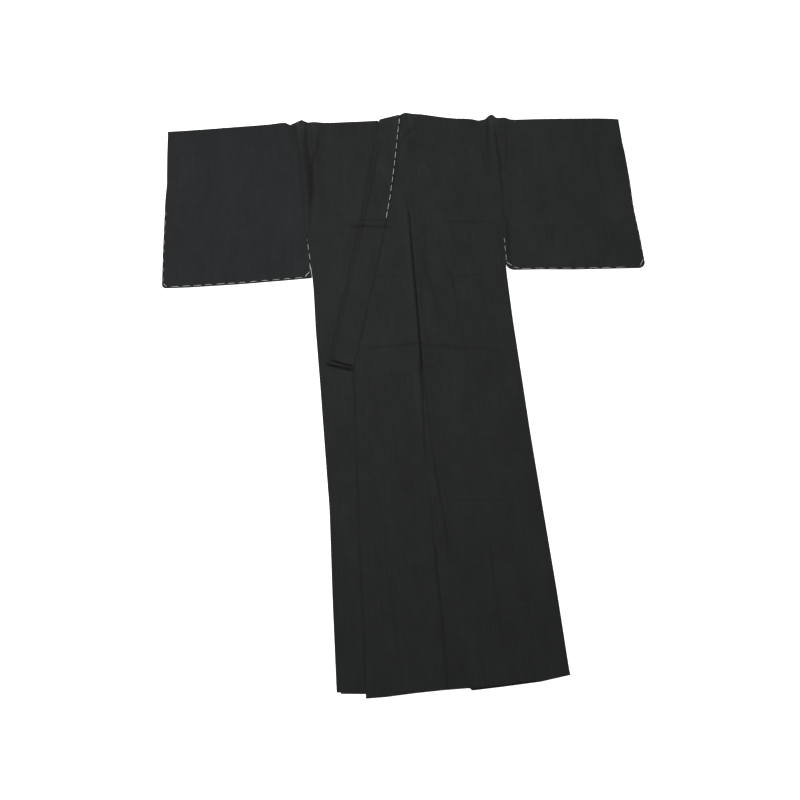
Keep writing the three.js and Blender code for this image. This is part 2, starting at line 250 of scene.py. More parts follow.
# Folds that stand up in the front cloth, from the high end to where each dies out
FOLDS = (
    dict(x0=-273, y0=10, x1=-270, y1=-190, width=11, height=12),
    dict(x0=-234, y0=6, x1=-231, y1=-330, width=12, height=7),
    dict(x0=280, y0=6, x1=277, y1=-200, width=11, height=11),
    dict(x0=252, y0=6, x1=252, y1=-150, width=10, height=4),
)
TOP_FOLDS = (dict(x0=28, y0=22, x1=12, y1=-130, width=30, height=12),)

# Narrower parts of the same folds, above the shapes that the solids have
FINE_FOLDS = (
    dict(x0=-269, y0=18, x1=-271, y1=-70, width=6, height=5),
    dict(x0=280, y0=20, x1=279, y1=-70, width=6, height=6),
    dict(x0=312, y0=10, x1=302, y1=-160, width=10, height=3),
    dict(x0=-318, y0=12, x1=-290, y1=-120, width=10, height=3),
)
NECK_FOLDS = (dict(x0=22, y0=28, x1=110, y1=18, width=12, height=3),)


def crease(on, along_axis, columns, *rows):
    """One crease: the surfaces that it runs on, the axis that its rows follow, and its table."""
    return dict(on=on.split(), axis=along_axis, rows=table(columns, *rows))


# Creases of the cloth. Each has the place that it runs through, how far the cloth swells beside it,
# its half width, and how much painted shade darkens its narrow bottom.
RUN = "down across swell width shade"
CROSS = "across down swell width shade"
CREASES = (
    crease(
        "top", "down", RUN,
        (150, 10, 0, 3, 0), (205, 11, 0.6, 3, 0.06), (251, 13.5, 1.4, 2.8, 0.20),
        (284, 16.5, 2.8, 2.8, 0.42), (316, 18, 3.8, 3.2, 0.66), (429, 19, 4.4, 3.2, 0.72),
        (568, 21, 5, 3.2, 0.70), (686, 22, 5.2, 3.4, 0.70), (735, 21.5, 5.4, 3.8, 0.76),
        (750, 22, 5, 4.8, 0.72), (775, 20, 4.4, 5.2, 0.58), (815, 20, 3.4, 4.6, 0.50),
        (860, 18, 2.6, 3.4, 0.34), (939, 15.5, 2.2, 3.4, 0.30), (1019, 15, 1.8, 3.4, 0.28),
        (1060, 17, 0.9, 4, 0.08), (1170, 20, 0.9, 4, 0.08), (1240, 21, 1.9, 4.4, 0.34),
        (1300, 22, 2, 4.8, 0.40), (1381, 25, 1.8, 4.6, 0.36), (1542, 26, 1.4, 4.2, 0.28),
        (1579, 26, 1, 4, 0.12),
    ),
    crease(
        "top", "down", RUN,
        (740, 24, 0, 3.6, 0), (790, 27.5, 2.2, 3.6, 0.26), (830, 28.5, 2.4, 3.4, 0.30),
        (920, 31, 1.4, 3.6, 0.14), (1000, 35, 1.4, 3.6, 0.18), (1045, 37, 2.2, 3.4, 0.34),
        (1099, 42, 2.4, 3.2, 0.40), (1160, 48, 2.4, 3.2, 0.38), (1215, 53, 2, 3.4, 0.30),
        (1260, 55, 0.9, 4, 0.08), (1480, 60, 0.9, 4, 0.06), (1520, 62, 1.2, 4, 0.14),
        (1568, 78, 0.6, 4, 0.10),
    ),
    crease(
        "top", "down", RUN,
        (60, 6, 0, 4, 0), (90, 3, 0.8, 4, 0.20), (140, -5, 0.8, 4, 0.14), (232, -20, 0.6, 4, 0.10),
        (330, -25, 0, 4, 0),
    ),
    crease(
        "top", "down", RUN,
        (350, 92, 0, 5, 0), (409, 98, 0.9, 5, 0.16), (462, 105, 1.2, 5, 0.26),
        (500, 120, 1.2, 5, 0.28), (570, 128, 1, 5, 0.22), (629, 132, 0.8, 4, 0.14),
        (700, 140, 0, 4, 0),
    ),
    crease(
        "top", "down", RUN,
        (380, 46, 0, 6, 0), (451, 52, 1, 6, 0.16), (494, 55, 1.2, 6, 0.27), (537, 67, 1.2, 6, 0.27),
        (627, 79, 0.9, 6, 0.14), (720, 92, 0, 6, 0),
    ),
    crease(
        "top", "down", RUN,
        (1190, 158, 0, 3.6, 0), (1250, 157, 1.1, 3.6, 0.20), (1340, 156, 1.1, 3.6, 0.22),
        (1430, 160, 0.9, 3.6, 0.16), (1500, 162, 0, 3.6, 0),
    ),
    crease(
        "top", "down", RUN,
        (1290, -96, 0, 4, 0), (1370, -90, 0.9, 4, 0.14), (1470, -84, 0.7, 4, 0.12),
        (1540, -82, 0, 4, 0),
    ),
    crease(
        "top", "down", RUN,
        (1380, 108, 0, 4, 0), (1480, 108, 0.8, 4, 0.14), (1560, 112, 0.8, 4, 0.18),
        (1579, 113, 0.4, 4, 0.10),
    ),
    crease(
        "under", "down", RUN,
        (-20, -264, 0, 4.5, 0.34), (40, -260, 0.4, 5, 0.36), (80, -256.5, 0.8, 5, 0.44),
        (120, -252, 1.2, 8, 0.54), (150, -249.5, 1.4, 10.5, 0.62), (190, -249.5, 1.4, 10.5, 0.66),
        (228, -250.5, 1.6, 8.5, 0.70), (255, -252, 1.4, 6, 0.52), (300, -255, 1, 4, 0.36),
        (350, -256, 0.6, 3.6, 0.16), (400, -256, 0, 3.6, 0),
    ),
    crease(
        "under", "down", RUN,
        (0, -214, 0, 6, 0), (45, -222, 0.9, 5.5, 0.24), (80, -230, 1, 6.5, 0.42),
        (109, -239, 0.9, 6, 0.42), (140, -245, 0.5, 5, 0.24), (165, -249, 0, 5, 0),
    ),
    crease(
        "top", "down", RUN,
        (50, 233, 0, 4, 0), (85, 237, 0.9, 4.5, 0.20), (110, 243, 1.2, 4.5, 0.32),
        (150, 243, 1.2, 4.5, 0.28), (185, 245, 0, 4.5, 0),
    ),
    crease(
        "top", "down", RUN,
        (-20, 267, 0.4, 3.4, 0.10), (20, 264, 0.9, 3.4, 0.22), (76, 258, 0.9, 3.6, 0.24),
        (130, 258, 0, 3.6, 0),
    ),
    crease(
        "sleeve", "down", RUN,
        (-14, 322, 0, 4, 0.06), (25, 313, 1, 4.5, 0.20), (77, 310, 1.2, 4.5, 0.26),
        (128, 305, 1.2, 4.5, 0.28), (165, 302, 0, 4.5, 0),
    ),
    crease(
        "sleeve top", "down", RUN,
        (-20, 288, 0, 3.4, 0.40), (-3, 286, 0.3, 3.6, 0.60), (59, 282, 0.4, 3.6, 0.64),
        (85, 281.5, 0.4, 3.6, 0.54), (128, 286.5, 0.4, 4, 0.50), (160, 286, 0.4, 4.2, 0.50),
        (188, 284.5, 0.4, 3.8, 0.44), (215, 285, 0.4, 4, 0.46), (250, 283, 0.3, 3.4, 0.40),
        (310, 280, 0.2, 3.4, 0.34), (345, 279, 0, 3, 0),
    ),
    crease(
        "sleeve", "down", RUN,
        (300, 287, 0, 5, 0), (330, 287, 0.6, 6.5, 0.40), (362, 286, 0.8, 7, 0.46),
        (400, 283, 0.7, 6.5, 0.44), (459, 280.5, 0.6, 6, 0.42), (474, 284, 0.2, 4.6, 0.14),
    ),
    crease(
        "sleeve", "down", RUN,
        (-20, -303, 0.4, 4, 0.14), (0, -293, 1, 3.8, 0.28), (57, -284, 1, 4, 0.30),
        (91, -278, 0.9, 4, 0.30), (110, -276, 0.5, 3.4, 0.12), (140, -275, 0, 3.4, 0),
    ),
    crease(
        "sleeve", "down", RUN,
        (60, -276, 0, 3, 0), (100, -275, 0.3, 3, 0.22), (142, -272.5, 0.3, 3.2, 0.34),
        (200, -272.5, 0.3, 3, 0.24), (273, -271, 0.3, 3, 0.28), (340, -266.5, 0.3, 3, 0.12),
        (400, -263, 0, 3, 0),
    ),
    crease(
        "top", "across", CROSS,
        (85, 322, 0, 4, 0), (116, 325, 0.9, 3.6, 0.22), (180, 328, 0.9, 3.6, 0.24),
        (240, 330, 0.7, 3.6, 0.16), (262, 331, 0, 4, 0),
    ),
    crease(
        "band under top", "across", CROSS,
        (-165, 331, 0, 4, 0), (-142, 331, 0.8, 4.6, 0.32), (-122, 332, 1.4, 6, 0.60),
        (-106, 333, 1.4, 6, 0.58), (-92, 334, 1, 5, 0.50), (-70, 336, 0.9, 4.8, 0.52),
        (-40, 336, 0.8, 4.6, 0.42), (-28, 336, 0.4, 4.2, 0.10), (-18, 336, 0, 4, 0),
    ),
    crease(
        "sleeve", "across", CROSS,
        (340, 350, 0, 3.6, 0), (363, 352, 0.9, 3.6, 0.20), (450, 355, 0.9, 3.6, 0.20),
        (530, 358, 0.8, 3.6, 0.16), (556, 358, 0, 3.6, 0),
    ),
    crease(
        "top", "across", CROSS,
        (-95, 489, 0, 4, 0), (-77, 488, 0.9, 4, 0.20), (-18, 490, 0.9, 4, 0.18), (5, 490, 0, 4, 0),
    ),
    crease(
        "top", "across", CROSS,
        (128, 503, 0, 4, 0), (151, 500, 0.9, 4, 0.22), (198, 493, 0.9, 4, 0.20),
        (215, 491, 0, 4, 0),
    ),
    crease(
        "top", "across", CROSS,
        (-136, 702, 0, 4, 0), (-112, 700, 1, 4, 0.20), (-50, 697, 1.4, 4, 0.34),
        (0, 695, 1.5, 4, 0.36), (16, 694, 1, 4, 0.30), (34, 700, 1.2, 5, 0.30),
        (90, 706, 1.3, 6, 0.32), (130, 711, 1.2, 6.5, 0.28), (180, 716, 1, 6, 0.22),
        (229, 720, 0.8, 5, 0.16), (255, 722, 0, 5, 0),
    ),
    crease(
        "top", "across", CROSS,
        (28, 762, 0, 6, 0), (48, 766, 1.2, 6, 0.24), (62, 756, 0.8, 6, 0.14), (80, 750, 0, 6, 0),
    ),
    crease(
        "top", "across", CROSS,
        (68, 1124, 0, 4, 0), (91, 1125, 0.8, 4, 0.16), (197, 1130, 0.9, 4, 0.20),
        (212, 1132, 0, 4, 0),
    ),
    # This crease stands up as a ridge, and its negative shade paints a highlight along it
    crease(
        "top", "across", CROSS,
        (180, 1386, 0, 4, 0), (212, 1386, -0.7, 4, -0.12), (271, 1388, -0.7, 4, -0.12),
        (290, 1389, 0, 4, 0),
    ),
    crease(
        "top", "across", CROSS,
        (36, 396, 0, 4, 0), (56, 394, 0.8, 4, 0.16), (97, 389, 0.8, 4, 0.14), (118, 387, 0, 4, 0),
    ),
    crease(
        "top", "across", CROSS,
        (5, 76, 0, 5.4, 0.30), (11, 64, 0.8, 5.4, 0.50), (20, 48, 0.9, 5.6, 0.30),
        (36, 31, 0.8, 6, 0.46), (62, 12, 0, 5, 0),
    ),
    # These two have no swell: they are painted shadow only, the dark slits at the collar's end
    crease(
        "band", "across", CROSS,
        (-215, 731, 0, 3, 0.40), (-205, 734, 0, 3.9, 0.93), (-160, 750, 0, 3.9, 0.93),
        (-150, 754, 0, 3, 0.60),
    ),
    crease(
        "band under top", "across", CROSS,
        (-228, 741, 0, 2.6, 0.10), (-218, 744, 0, 3.8, 0.82), (-163, 760, 0, 4, 0.94),
        (-152, 763, 0, 2.6, 0.30), (-144, 766, 0, 2.4, 0),
    ),
)


def edge_shadow_line(on, edge, *rows):
    """A line of painted shadow along an edge of the front: the surfaces it shows on, the edge and
    its table.
    """
    return dict(on=on.split(), edge=edge, rows=table("down width shade", *rows))


# Painted shadow along the edges of the front: how dark it makes the cloth there
EDGE_SHADOW_LINES = (
    edge_shadow_line(
        "band", "free",
        (-20, 4, 0.06), (40, 4, 0.12), (85, 4.6, 0.46), (150, 4.6, 0.46), (230, 4.4, 0.40),
        (320, 4.8, 0.42), (380, 5.4, 0.26), (450, 5.6, 0.38), (560, 5.6, 0.42), (640, 5.2, 0.30),
        (700, 4.8, 0.34), (742, 4.4, 0.30),
    ),
    edge_shadow_line(
        "under", "free",
        (40, 3, 0), (90, 3, 0.20), (320, 3.4, 0.24), (560, 3.4, 0.26), (700, 3.4, 0.20),
        (742, 3, 0.16), (744, 3, 0),
    ),
    edge_shadow_line(
        "band top", "seam",
        (-20, 2.4, 0), (300, 2.4, 0), (330, 4.2, 0.12), (480, 4.6, 0.18), (560, 4.4, 0.08),
        (640, 4.6, 0.16), (700, 4.2, 0.12), (757, 4.2, 0.16), (770, 3.4, 0),
    ),
    edge_shadow_line(
        "top under", "seam",
        (760, 3, 0), (775, 3.2, 0.30), (860, 3.2, 0.26), (960, 3.2, 0.16), (1100, 3.4, 0.24),
        (1230, 3.4, 0.14), (1330, 3.4, 0.26), (1450, 3.4, 0.22), (1580, 3.4, 0.24),
    ),
)
# A crease's swollen sides reach this many half widths
SWELL_REACH = 4.5


def along(rows, key, place, column):
    return np.interp(place, rows[key], rows[column])


def body(down, column):
    return along(BODY, "down", down, column)


def front(down, column):
    return along(FRONT, "down", down, column)


def hem(across, column):
    return along(HEM, "across", across, column)


def shoulder(across):
    return along(SHOULDER, "across", across, "rise")


def smooth(value, low, high):
    share = np.clip((np.asarray(value, float) - low) / (high - low), 0, 1)
    return share * share * (3 - 2 * share)


def blend(a, b, share):
    return a + (b - a) * share


def relief(folds, x, y):
    """Height that a list of standing folds adds at a place."""
    height = 0.0
    for fold in folds:
        dx = fold["x1"] - fold["x0"]
        dy = fold["y1"] - fold["y0"]
        share = ((x - fold["x0"]) * dx + (y - fold["y0"]) * dy) / (dx * dx + dy * dy)
        held = np.clip(share, 0, 1)
        aside = np.hypot(x - fold["x0"] - held * dx, y - fold["y0"] - held * dy) / fold["width"]
        height = height + fold["height"] * np.exp(-aside * aside) * (1 - smooth(held, FOLD_FADE, 1))
    return height


def creased(surface, x, y):
    """Height that the creases of a surface add at a place, and the painted shade that they and the
    front's edges put there.
    """
    height, lit = 0.0, 1.0
    for found in CREASES:
        if surface not in found["on"]:
            continue
        rows = found["rows"]
        if found["axis"] == "down":
            key, place, aside, column = "down", -y, x, "across"
        else:
            key, place, aside, column = "across", x, -y, "down"
        width = along(rows, key, place, "width")
        apart = np.abs(aside - along(rows, key, place, column)) / width
        swell = np.interp(place, rows[key], rows["swell"], left=0, right=0)
        shade = np.interp(place, rows[key], rows["shade"], left=0, right=0)
        beside = (1 - np.exp(-(apart**1.5))) * np.exp(-((apart / SWELL_REACH) ** 2))
        height = height + swell * beside
        lit = lit * (1 - shade * np.exp(-(apart**2)))
    for found in EDGE_SHADOW_LINES:
        if surface in found["on"]:
            apart = (x - front(-y, found["edge"])) / along(found["rows"], "down", -y, "width")
            lit = lit * (1 - along(found["rows"], "down", -y, "shade") * np.exp(-(apart**2)))
    return height, 1 - lit


def filling(x, y):
    """Layers between the back and the top front: the under front, and its collar beside it."""
    down = -y
    seam = front(down, "under_seam")
    free = front(down, "under_free")
    in_front = 1 - smooth(x - free, CLEAR, CLEAR + RAMP)
    in_band = smooth(x - seam, -CLEAR - RAMP, -CLEAR) * in_front
    past_neck = smooth(down, OVERCOLLAR_END + CLEAR, OVERCOLLAR_END + CLEAR + LONG_RAMP)
    layers = blend(NECK_LAYERS, COLLAR_LAYERS, past_neck)
    ended = 1 - smooth(down, COLLAR_END + CLEAR, COLLAR_END + CLEAR + RAMP)
    return in_front + (layers - 1) * in_band * ended


def flat_height(layer):
    return WALL / 2 + layer * LAYER


def under_height(x, y):
    return flat_height(1) + relief(FOLDS + FINE_FOLDS, x, y) + creased("under", x, y)[0]


def sleeve_height(x, y):
    return flat_height(1) + relief(FOLDS + FINE_FOLDS, x, y) + creased("sleeve", x, y)[0]


def top_relief(x, y):
    return relief(FOLDS + FINE_FOLDS + TOP_FOLDS + NECK_FOLDS, x, y)


def top_height(x, y):
    return flat_height(1 + filling(x, y)) + top_relief(x, y) + creased("top", x, y)[0]


def low_height(x, y):
    return np.full(np.shape(x + y), flat_height(0))


def points(x, y, z):
    """One array of places from arrays, or single numbers, across, up and above."""
    return np.stack(np.broadcast_arrays(x, y, z), axis=-1).astype(float)


def shell(name, grid, surface, closed=False, thickness=SHELL):
    """A closed mesh of even thickness round a grid of points, open at its rim or closed round."""
    rows, columns = grid.shape[:2]
    if closed:
        ahead, behind = np.roll(grid, -1, axis=0), np.roll(grid, 1, axis=0)
    else:
        ahead = np.concatenate([grid[1:], grid[-1:]])
        behind = np.concatenate([grid[:1], grid[:-1]])
    right = np.concatenate([grid[:, 1:], grid[:, -1:]], axis=1)
    left = np.concatenate([grid[:, :1], grid[:, :-1]], axis=1)
    normal = np.cross(right - left, ahead - behind)
    normal /= np.linalg.norm(normal, axis=2, keepdims=True)
    half = normal * np.reshape(thickness, (-1, 1, 1)) / 2
    places = np.concatenate([(grid + half).reshape(-1, 3), (grid - half).reshape(-1, 3)])
    index = np.arange(rows * columns).reshape(rows, columns)
    if closed:
        index = np.concatenate([index, index[:1]])
    a, b, c, d = index[:-1, :-1], index[:-1, 1:], index[1:, 1:], index[1:, :-1]
    under = rows * columns
    faces = [np.stack([a, b, c, d], -1), np.stack([a, d, c, b], -1) + under]
    rims = [(index[:, 0], 1), (index[:, -1], -1)]
    if not closed:
        rims += [(index[0], -1), (index[-1], 1)]
    for line, side in rims:
        start, end = line[:-1], line[1:]
        rim = np.stack([start, end, end + under, start + under], -1)
        faces.append(rim[:, ::side])
    quads = np.concatenate([face.reshape(-1, 4) for face in faces])
    corners = places[quads[:, :4]]
    volume = np.einsum("ij,ij->i", corners[:, 0], np.cross(corners[:, 1], corners[:, 2])).sum()
    volume += np.einsum("ij,ij->i", corners[:, 0], np.cross(corners[:, 2], corners[:, 3])).sum()
    if volume < 0:
        quads = quads[:, ::-1]
    made = mesh_object(name, places, quads)
    # Painted shade of the creases and edges, kept on the points for the cloth's colour
    painted_shade = creased(surface, grid[..., 0], grid[..., 1])[1] + np.zeros(grid.shape[:2])
    if surface == "band":
        painted_shade = 1 - (1 - painted_shade) * (1 - band_shade_line(grid[..., 0], grid[..., 1]))
    marks = made.data.attributes.new("painted_shade", "FLOAT", "POINT")
    marks.data.foreach_set("value", np.tile(painted_shade.ravel(), 2).astype(np.float32))
    return made


# Faces that meet at more than this are the rim of the cloth
RIM_ANGLE = math.radians(60)


def mesh_object(name, places, faces):
    """A smooth-shaded object from places in millimetres."""
    mesh = bpy.data.meshes.new(name)
    mesh.from_pydata(((places + SHIFT) * MILLIMETRE).tolist(), [], faces.tolist())
    mesh.polygons.foreach_set("use_smooth", [True] * len(mesh.polygons))
    mesh.set_sharp_from_angle(angle=RIM_ANGLE)
    mesh.update()
    made = bpy.data.objects.new(name, mesh)
    bpy.context.scene.collection.objects.link(made)
    return made


def spread(low, high, step):
    """Even places from low to high, about a step apart."""
    return np.linspace(low, high, max(int(round((high - low) / step)), 1) + 1)


def half_turn(low_x, high_x, top, low, high, steps=EDGE_STEPS):
    """Rows of points from a low height round the edge at the top to a high one."""
    turned = np.linspace(0, 1, steps + 1)[:, None]
    radius = (high - low) / 2
    angle = math.pi * turned
    return points(
        blend(low_x, high_x, turned),
        top - radius * (1 - np.sin(angle)),
        low + radius * (1 - np.cos(angle)),
    )


# The middle crease lies at this share of a body half's width from its inner edge, and columns of
# points lie closely round it
CREASE_AT = 0.152
NEAR_CREASE = np.array([
    -14, -11, -8.5, -6.5, -5, -3.7, -2.5, -1.2, 0, 1.2, 2.5, 3.7, 5, 6.5, 8.5, 11, 14,
])

# Stretches down the front where creases cross it, so that the rows of points are closer
FINE_ROWS = ((316, 340), (384, 400), (482, 508), (690, 726), (730, 772), (1120, 1136), (1380, 1394))


def body_shares():
    """Shares of the width at which the columns of the top front lie."""
    near = CREASE_AT + NEAR_CREASE / HALF_WIDTH
    before = spread(0, near[0], COLUMN_STEP / HALF_WIDTH)[:-1]
    after = spread(near[-1], 1, COLUMN_STEP / HALF_WIDTH)[1:]
    return np.concatenate([before, near, after])


def body_half(name, side):
    """One half of the body: back, shoulder and front in one length of cloth."""
    edge_name, wrap_name = ("left", "wrap_left") if side < 0 else ("right", "wrap_right")
    panel_name = "under_panel" if side < 0 else "panel"
    front_height = under_height if side < 0 else top_height
    hem_name = "under" if side < 0 else "top"
    shares = body_shares() if side > 0 else spread(0, 1, COLUMN_STEP / HALF_WIDTH)
    count = len(shares)

    def armhole(down):
        return body(down, edge_name) - side * ARM_SEAM / 2

    def wrapped(inner, edge, wrap):
        radius = LAYER / 2
        flat = abs(edge - inner) - radius
        flat_columns = count - 2 * SIDE_STEPS
        across = spread(0, 1, 1 / (flat_columns - 1))
        turned = math.pi * np.arange(1, SIDE_STEPS + 1) / SIDE_STEPS
        on_top = radius + wrap * np.arange(1, SIDE_STEPS + 1) / SIDE_STEPS
        x = np.concatenate([
            inner + side * flat * across,
            edge - side * radius * (1 - np.sin(turned)),
            edge - side * on_top,
        ])
        z = np.concatenate([
            np.full(flat_columns, flat_height(0)),
            flat_height(0) + radius * (1 - np.cos(turned)),
            np.full(SIDE_STEPS, flat_height(1)),
        ])
        return x, z

    def wrap_at(down):
        """How far the back wraps onto the front: nothing at the side opening, full below it."""
        return smooth(down, SIDE_OPENING_END, WRAP_START) * body(max(down, WRAP_START), wrap_name)

    def gathered(inner, edge):
        flat_columns = count - 2 * SIDE_STEPS
        flat = abs(edge - inner) - NOTCH
        across = np.concatenate([
            flat * spread(0, 1, 1 / (flat_columns - 1)),
            flat + NOTCH * np.arange(1, 2 * SIDE_STEPS + 1) / (2 * SIDE_STEPS),
        ])
        return inner + side * across, np.full(count, flat_height(0))

    rows = []
    hem_down = BODY["down"][-1]
    back_downs = [
        hem_down,
        *np.arange(LAST_ROW, WRAP_START, -BACK_STEP),
        *-spread(-WRAP_START, -SIDE_OPENING_END, SIDE_STEP),
        *np.arange(FIRST_BACK_ROW, 0, -BACK_STEP),
    ]
    for down in back_downs:
        inner = body(down, "centre") + side * SEAM / 2
        edge = armhole(down)
        if down > SIDE_OPENING_END:
            x, z = wrapped(inner, edge, wrap_at(down))
        elif down == SIDE_OPENING_END:
            x, z = gathered(inner, edge)
        else:
            x, z = inner + (edge - inner) * shares, flat_height(0)
        y = -hem(x, "back") if down == hem_down else -down
        rows.append(points(x, y, z)[None])
    x = blend(front(0, panel_name) + side * SEAM / 2, armhole(0), shares)
    top = shoulder(x)
    rows.append(half_turn(x, x, top, flat_height(0), front_height(x, top)))
    front_downs = [*FIRST_FRONT_ROWS]
    while front_downs[-1] < LAST_ROW:
        down = front_downs[-1]
        near = any(start <= down <= end for start, end in FINE_ROWS)
        front_downs.append(down + (FINE_STEP if near else FRONT_STEP))
    for down in [*front_downs, hem_down]:
        if down == hem_down:
            set_in = LAYER / 2 + body(down, wrap_name) + SEAM
            inner = front(down, panel_name) + side * SEAM / 2
            x = blend(inner, armhole(down) - side * set_in, shares)
            last = -hem(x, hem_name)
            start = rows[-1][0]
            steps = np.linspace(0, 1, HEM_STEPS + 1)[1:, None]
            x, y = blend(start[:, 0], x, steps), blend(start[:, 1], last, steps)
            rows.append(points(x, y, front_height(x, y)))
            continue
        slack = smooth(down, *SLACK_RAMP) * (LAYER / 2 + SEAM) + wrap_at(down)
        x = blend(front(down, panel_name) + side * SEAM / 2, armhole(down) - side * slack, shares)
        rows.append(points(x, -down, front_height(x, -down))[None])
    return shell(name, np.concatenate(rows), "under" if side < 0 else "top")


def overlap(name, side):
    """Overlap panel beside a front, from its tip at the collar down to the hem."""
    seam_name, panel_name = ("under_seam", "under_panel") if side < 0 else ("seam", "panel")
    panel_height, hem_name = (under_height, "under") if side < 0 else (top_height, "top")
    step = HIDDEN_STEP if side < 0 else PANEL_STEP
    shares = spread(0, 1, step / PANEL_WIDTH)
    rows = []
    for down in spread(PANEL_TIP, LAST_ROW, step):
        inner = front(down, panel_name) - side * SEAM / 2
        outer = front(down, seam_name) + (side * SEAM / 2 if down < COLLAR_END else 0)
        x = blend(inner, outer, shares)
        rows.append(points(x, -down, panel_height(x, -down))[None])
    down = BODY["down"][-1]
    end = blend(front(down, panel_name) - side * SEAM / 2, front(down, seam_name), shares)
    steps = np.linspace(0, 1, HEM_STEPS + 1)[1:, None]
    x = blend(rows[-1][0][:, 0], end, steps)
    y = blend(rows[-1][0][:, 1], -hem(end, hem_name), steps)
    rows.append(points(x, y, panel_height(x, y)))
    return shell(name, np.concatenate(rows), "under" if side < 0 else "top")


# The strip beside the band's fold lies lower than the rest, with a narrow line of painted shade
# between them
STRIP = table(
    "down width depth",
    (-20, 16, 0.1),
    (40, 15, 0.2),
    (110, 13, 0.3),
    (232, 10.5, 0.3),
    (313, 10, 0.3),
    (500, 10, 0.3),
    (757, 9, 0.3),
)
# The painted shade line's half width, how dark it is, where it starts and how much it fades below
# the overcollar
STRIP_LINE = 2.8
STRIP_SHADE = 0.50
STRIP_START = (55, 100)
STRIP_FADE = 0.45
STRIP_FADE_REACH = 90
# The collar's end slants by this much, over this last stretch
END_SLANT = 16
SLANT_REACH = 70
# The overcollar's end is pressed down by this much and to this share of the cloth's thickness, over
# this last stretch
PRESSED = 0.25
THIN_END = 0.25
THIN_REACH = 14
# Rows of points just past the overcollar's end, and how long the collar's finely divided end is
PAST_OVERCOLLAR = np.array([1, 2, 3, 4, 6.5, 9, 11.5, 14, 16.5, 19, 21.5, 24])
FINE_END = 38
# Where the columns of points lie across the band, from its fold
LEAF_SHARES = np.concatenate([
    spread(0, 0.12, 0.03), spread(0.13, 0.27, 0.014), spread(0.3, 0.94, 0.055), [0.97, 1],
])


def band_step(x, y):
    """How far the strip beside the fold lies below the rest."""
    inside = x - front(-y, "free")
    past = inside - along(STRIP, "down", -y, "width")
    return along(STRIP, "down", -y, "depth") * (1 - smooth(past, -2, 2))


def band_shade_line(x, y):
    """How dark the painted shade line beside the strip is."""
    apart = (x - front(-y, "free") - along(STRIP, "down", -y, "width")) / STRIP_LINE
    fade = 1 - STRIP_FADE * smooth(-y, OVERCOLLAR_END, OVERCOLLAR_END + STRIP_FADE_REACH)
    return STRIP_SHADE * fade * np.exp(-(apart**2)) * smooth(-y, *STRIP_START)


def band(name, ends, low_layer, high_layer, across, grows):
    """A strip folded along its left edge, from the under front over the neck to the top front."""
    leaf = LEAF_SHARES
    turned = np.arange(1, SIDE_STEPS) / SIDE_STEPS
    share = np.concatenate([leaf[::-1], np.zeros(SIDE_STEPS - 1), leaf])
    turn = np.concatenate([np.zeros(len(leaf)), turned, np.ones(len(leaf))])
    radius = (high_layer - low_layer) * LAYER / 2
    middle = (low_layer + high_layer) / 2

    def placed(left, right, y, base, flipped):
        first = low_layer if flipped else high_layer
        width = right - left - radius - across - SEAM
        x = left + radius + across + share * width - radius * np.sin(math.pi * turn)
        level = middle + (first - middle) * np.cos(math.pi * turn)
        return points(x, y, flat_height(base + level))

    def slanted(row, down):
        """The collar's end slants: its outer corner lies higher."""
        left, right = front(down, "free"), front(down, "seam")
        slant = END_SLANT * (right - row[:, 0]) / (right - left)
        row[:, 1] += slant * smooth(down, COLLAR_END - SLANT_REACH, COLLAR_END)

    def settle(down):
        return 1 - smooth(down, OVERCOLLAR_END, OVERCOLLAR_END + STEP) if grows else 1.0

    downs = np.concatenate([FIRST_BAND_ROWS, spread(20, OVERCOLLAR_END, BAND_STEP)])
    if grows:
        near = OVERCOLLAR_END + PAST_OVERCOLLAR
        fine = ends - FINE_END
        downs = np.concatenate([
            downs,
            near,
            spread(near[-1] + 3, fine - BAND_END_STEP, BAND_STEP),
            spread(fine, ends, BAND_END_STEP),
        ])
    rows = []
    for down in downs[::-1]:
        left = front(down, "under_seam") + BAND_INSET
        rows.append(placed(left, front(down, "under_free"), -down, settle(down), True)[None])
    low = placed(front(0, "under_seam") + BAND_INSET, front(0, "under_free"), 0, UNDER_BASE, True)
    high = placed(front(0, "free"), front(0, "seam"), 0, TOP_BASE, False)
    top = shoulder((low[:, 0] + high[:, 0]) / 2)
    lift = top_relief(np.maximum(high[:, 0], front(0, "free") + BAND_EDGE), top)
    inside = BAND_TURN * LAYER - (high[:, 2] - low[:, 2]) / 2
    rows.append(half_turn(low[:, 0], high[:, 0], top - inside, low[:, 2], high[:, 2] + lift))
    for down in downs:
        row = placed(front(down, "free"), front(down, "seam"), -down, settle(down), False)
        x = np.maximum(row[:, 0], front(down, "free") + BAND_EDGE)
        row[:, 2] += filling(x, row[:, 1]) * LAYER + top_relief(x, row[:, 1])
        row[:, 2] += creased("band", x, row[:, 1])[0] - band_step(x, row[:, 1])
        if grows:
            slanted(row, down)
        else:
            row[:, 2] -= PRESSED * smooth(down, ends - THIN_REACH, ends)
        rows.append(row[None])
    thickness = SHELL
    if not grows:
        all_downs = np.array([*downs[::-1], *np.zeros(EDGE_STEPS + 1), *downs])
        thickness = SHELL * blend(THIN_END, 1, smooth(ends - all_downs, 0, THIN_REACH))
    return shell(name, np.concatenate(rows), "band", thickness=thickness)


# Where the points of a sleeve lie, as shares of its length and of its depth: closer at the edges
SLEEVE_COLUMNS = np.concatenate([
    spread(0, 0.08, 0.008),
    spread(0.09, 0.91, 0.0125),
    spread(0.92, 0.98, 0.0085),
    [0.986, 0.991, 0.995, 0.998, 1],
])
SLEEVE_ROWS = np.concatenate([
    [0, 0.012, 0.025], spread(0.035, 0.97, 0.0105), [0.978, 0.985, 0.992, 1],
])
# The hidden leaf takes every fourth row
HIDDEN_ROWS = SLEEVE_ROWS[::-4]


